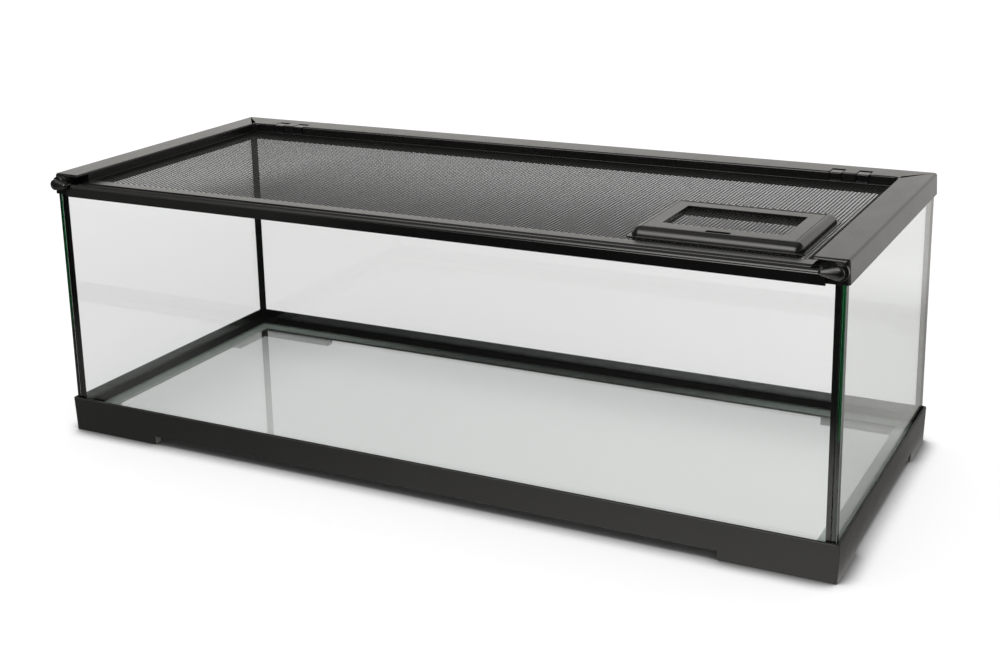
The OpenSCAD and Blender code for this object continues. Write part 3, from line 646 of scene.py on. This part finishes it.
def latch_lever(side, sign):
    """A lever with a ridge along its middle, its shaft, and the nose over the rail."""
    node = "latch_lever_" + side
    low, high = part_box(node)
    axis_x = (low.x if sign < 0 else high.x) - sign * LEVER_ROUND
    axis_z = (low.z + high.z) / 2
    work = bmesh.new()
    rings = []
    for share, depth in LEVER_CROWN:
        y = low.y + depth
        rings.append([work.verts.new((axis_x - sign * (middle + (x - middle) * share), y,
                                      axis_z + z * share)) for x, z, middle in lever_outline()])
    close_tube(work, rings)
    back = low.y + LEVER_THICK
    rod_y(work, axis_x, axis_z, SHAFT_RADIUS, back - SUNK, high.y)
    rod_y(work, axis_x - sign * LEVER_REACH, axis_z, LEVER_TIP - NOSE_SLACK, back - SUNK,
          back + LEVER_NOSE)
    bmesh.ops.recalc_face_normals(work, faces=work.faces)
    for face in work.faces:
        face.smooth = True
    mesh = bpy.data.meshes.new(node)
    work.to_mesh(mesh)
    work.free()
    mesh.set_sharp_from_angle(angle=CREASE)
    add_piece(node + "_moulded", mesh, [LATCH_BLACK], "latch_" + side, "latch_plastic", node)


# ------------------------------------------------------------------ glass and silicone

ARRIS = 0.45 * MM                         # width of the ground edge round a pane
BARE_EDGE_X = 452.4 * MM                  # beyond this an edge of a pane has no silicone on it
PANE_GAP = 0.02 * MM                      # how far a pane stays clear of what it touches
SILICONE_ROUND, SILICONE_SWELL = 0.5 * MM, 0.08 * MM


def pane(node):
    """A pane with its bare edges ground, a hair clear of what it touches."""
    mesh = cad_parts[node].data.copy()
    join_faces(mesh, wide=lambda corner: abs(corner.x) > BARE_EDGE_X)
    low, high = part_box(node)
    middle, half = (low + high) / 2, (high - low) / 2
    for vertex in mesh.vertices:
        for axis in range(3):
            clear = half[axis] - PANE_GAP
            vertex.co[axis] = middle[axis] + (clear if vertex.co[axis] > middle[axis] else -clear)
    mesh.materials.clear()
    mesh.materials.append(GLASS)
    mesh.materials.append(GROUND)
    shaped = freeze(mesh, ("BEVEL", {"width": ARRIS, "segments": 1, "limit_method": "WEIGHT",
                                     "material": 1}))
    for face in shaped.polygons:
        face.use_smooth = False
    add_piece(node + "_pane", shaped, [GLASS, GROUND], "tank", "glass", node)


def dress_glass():
    for node in ("bottom_glass", "front_glass", "back_glass", "left_glass", "right_glass"):
        pane(node)
    for node in ("silicone_front_left", "silicone_front_right", "silicone_back_left",
                 "silicone_back_right", "silicone_floor"):
        soften_node(node, "tank", "silicone", SILICONE, SILICONE_ROUND, segments=2,
                    grow=SILICONE_SWELL)


# ------------------------------------------------------------------ frames and fittings

BAY_X, BAY_BACK = 422.2 * MM, 150.2 * MM   # side and back edges of the bay that the lid lies in
BAY_CORNER = 7.0 * MM                      # radius of its back corners
ON_EDGE = 0.1 * MM                         # a corner closer to an edge than this is on it
FRAME_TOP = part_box("top_frame")[1].z
FRAME_ROUND, LID_ROUND, DOOR_ROUND = 0.45 * MM, 0.4 * MM, 0.35 * MM
BAY_ROUND = 2.2 * MM


def paint_node(node, finish):
    """Gives a CAD node that is shown as it is its finish."""
    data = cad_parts[node].data
    data.materials.clear()
    data.materials.append(finish)


def on_bay_edge(corner):
    """Whether a corner of the top frame is on the upper edge round the bay of the lid."""
    across, back = abs(corner.x), corner.y
    on_side = abs(across - BAY_X) < ON_EDGE and back < BAY_BACK
    on_back = abs(back - BAY_BACK) < ON_EDGE and across < BAY_X
    past_x, past_y = across - BAY_X + BAY_CORNER, back - BAY_BACK + BAY_CORNER
    off_arc = abs(sqrt(past_x ** 2 + past_y ** 2) - BAY_CORNER)
    on_turn = past_x > 0 and past_y > 0 and off_arc < ON_EDGE
    return corner.z > FRAME_TOP - ON_EDGE and (on_side or on_back or on_turn)


dress_sheets()
dress_glass()
soften_node("base_frame", "tank", "frame_plastic", BASE_BLACK, FRAME_ROUND)
soften_node("top_frame", "tank", "frame_plastic", FRAME_BLACK, FRAME_ROUND, segments=4,
            wide=on_bay_edge, wide_width=BAY_ROUND)
soften_node("lid_frame", "lid", "frame_plastic", LID_BLACK, LID_ROUND)
soften_node("hatch_bezel", "lid", "hatch_plastic", HATCH_BLACK, LID_ROUND)
soften_node("hatch_door", "hatch_door", "hatch_plastic", HATCH_BLACK, DOOR_ROUND)
for side, sign in (("left", -1), ("right", 1)):
    latch_lever(side, sign)
    paint_node("latch_screw_" + side, BLACK_SCREW)
    paint_node("hinge_pin_" + side, STEEL)
paint_node("hatch_backing_ring", HATCH_BLACK)
paint_node("hatch_screws", BLACK_SCREW)
paint_node("hatch_hinge_pins", STEEL)

# ------------------------------------------------------------------ stage and light

FLOOR_HALF, FLOOR_DROP = 14.0, 0.05 * MM  # half size of the floor, and its gap under the feet
CONTACT_REACH = 0.032                     # how far the shadow spreads where something stands
UNDER_X, UNDER_Y = 0.475, 0.215           # half sizes of the floor that is under the tank
UNDER_EDGE = 0.01                         # how softly that floor ends
BEHIND_START, BEHIND_END = (0.62, 0.84), (0.82, 1.34)    # where the floor behind is dimmer
OPEN_GLOW, UNDER_GLOW = 0.66, 0.76        # what the floor adds to its lit colour, for the eye
THROUGH_GLASS = (0.925, 0.880, 0.900)     # white through two panes, balanced against their green
WARM = (1.0, 0.98, 0.94)                  # the white that glossy surfaces show
KEY_SIDE, KEY_UP = -0.15, 0.58            # direction of the bright patch of the room in front
KEY_GLOW = 8.0                            # strength of that patch, in reflections
ROOM_LIGHT = 0.80                         # strength of the room as a light on the object


def white_through_glass(paint, mirrored):
    """White, with what balances the green of the panes that the ray has crossed."""
    panes = paint.limit(paint.depth("Transmission") * 0.25)
    return paint.blend(panes, paint.blend(mirrored, (1.0, 1.0, 1.0), WARM), THROUGH_GLASS)


def behind_lid(paint, x, y, footprint):
    """Brightness of the floor through one pane, as it shows behind the lid: dimmer, up to a
    distance that is shorter at the far left."""
    few = paint.math("LESS_THAN", paint.depth("Transmission"), 3.0)
    one_pane = few * paint.rays("Is Transmission Ray") * (1 - footprint) \
        * paint.ramp(y, *BEHIND_START)
    beyond = y + paint.ramp(0 - x, 0.95, 1.25) * 0.35
    return 1 - one_pane * (1 - paint.ramp(beyond, *BEHIND_END)) * 0.68


def under_shade(paint, x, y):
    """Shade on the floor under the tank: towards its left end and its back."""
    left = 1 - paint.ramp(x, -0.46, -0.27)
    back = 1 - paint.ramp(0.20 - y, 0.0, 0.13)
    return left * 0.30 + back * 0.22


def floor_gloss(paint, x, y):
    """Brightness of the floor in reflections: more to the right, hardly any far in front, and
    less beside the right pane."""
    far = paint.ramp(0 - y, 0.36, 0.62)
    side = paint.ramp(x, -0.45, 0.55)
    beside = paint.ramp(x, 0.45, 0.47) * paint.ramp(y, -0.21, -0.15)
    flag = beside * (0.80 - paint.ramp(y, 0.08, 0.25) * 0.14 - paint.ramp(y, 0.6, 0.9) * 0.20)
    return (1 - far * 0.97) * (0.32 + side * 1.20) * (1 - flag)


def floor_paint():
    """White that keeps the object's shadow. What it adds to its lit colour is for the eye, for
    looks through glass and for reflections, and lights nothing."""
    paint = new_material("floor_white")
    x, y, _ = paint.parts(paint.place())
    across, along = paint.math("ABSOLUTE", x), paint.math("ABSOLUTE", y)
    footprint = paint.ramp(UNDER_X - across, 0.0, UNDER_EDGE) \
        * paint.ramp(UNDER_Y - along, 0.0, UNDER_EDGE)
    under = paint.math("GREATER_THAN", paint.depth("Transmission"), 2.5) * footprint
    # painted contact shadow: ambient occlusion darkens the floor's glow and colour where something
    # stands on it
    near = paint.node("ShaderNodeAmbientOcclusion", {"samples": 16, "only_local": False},
                      {"Distance": CONTACT_REACH}, 1)
    open_floor = paint.ramp(near, 0.42, 0.92)    # 0 where something stands on it, 1 in the open
    mirrored = paint.mirrored()
    dim = behind_lid(paint, x, y, footprint)
    seen = paint.rays("Is Camera Ray", "Is Transmission Ray") * (1 - mirrored)
    glow = seen * (open_floor * OPEN_GLOW * (1 - under)
                   + under * (1 - under_shade(paint, x, y)) * UNDER_GLOW) * dim
    glow = glow + mirrored * floor_gloss(paint, x, y)
    tone = paint.limit(1 - mirrored, 0.02, 0.50) * dim * (0.35 + open_floor * 0.65) * (1 - under)
    white = white_through_glass(paint, mirrored)
    lit = paint.node("ShaderNodeBsdfDiffuse", None, {"Color": paint.dimmed(white, tone)})
    shown = paint.node("ShaderNodeEmission", None, {"Color": white, "Strength": glow})
    paint.surface(paint.node("ShaderNodeAddShader", None, {0: lit, 1: shown}))
    return paint.owner


def white_floor():
    """A flat white sheet under the object."""
    mesh = bpy.data.meshes.new("floor")
    work = bmesh.new()
    bmesh.ops.create_grid(work, x_segments=1, y_segments=1, size=FLOOR_HALF)
    work.to_mesh(mesh)
    work.free()
    floor = bpy.data.objects.new("floor", mesh)
    floor.location.z = -FLOOR_DROP
    bpy.context.scene.collection.objects.link(floor)
    mesh.materials.append(floor_paint())


def key_patch(paint, side, back, up):
    """A soft bright patch in front and above, which only bare gloss shows, and glass doesn't."""
    bare = paint.math("LESS_THAN", paint.depth("Transmission"), 0.5)
    wide = 1 - paint.ramp(paint.math("ABSOLUTE", side - KEY_SIDE), 0.12, 0.50)
    high = 1 - paint.ramp(paint.math("ABSOLUTE", up - KEY_UP), 0.05, 0.34)
    return wide * high * paint.ramp(0 - back, 0.1, 0.4) * bare * KEY_GLOW


def white_room():
    """The room: white to the eye and through glass; for gloss, white low behind, dim elsewhere."""
    world = bpy.data.worlds.new("room")
    bpy.context.scene.world = world
    paint = Paint(world)
    side, back, up = paint.parts(paint.node("ShaderNodeTexCoord", output="Generated"))
    mirrored = paint.mirrored()
    seen = paint.rays("Is Camera Ray", "Is Transmission Ray") * (1 - mirrored)
    behind = paint.ramp(back, -0.10, 0.40)
    low = 1 - paint.ramp(up, 0.34, 0.62)
    gloss = 0.10 + 0.92 * behind * low + 0.35 * paint.ramp(side, 0.5, 0.95) * low
    gloss = gloss + key_patch(paint, side, back, up)
    level = paint.math("MAXIMUM", seen, mirrored * gloss + (1 - mirrored) * ROOM_LIGHT)
    white = white_through_glass(paint, mirrored)
    paint.surface(paint.node("ShaderNodeBackground", None, {"Color": white, "Strength": level}))


def soft_box(name, place, aim, size, power):
    """A rectangular lamp that faces a point."""
    data = bpy.data.lights.new(name, "AREA")
    data.shape = "RECTANGLE"
    data.size, data.size_y = size
    data.energy = power
    lamp = bpy.data.objects.new(name, data)
    lamp.location = place
    lamp.rotation_euler = (Vector(aim) - Vector(place)).to_track_quat("-Z", "Y").to_euler()
    bpy.context.scene.collection.objects.link(lamp)


white_floor()
white_room()
soft_box("overhead", (0.0, 0.1, 2.2), (0.0, 0.0, 0.3), (2.4, 2.0), 6.0)
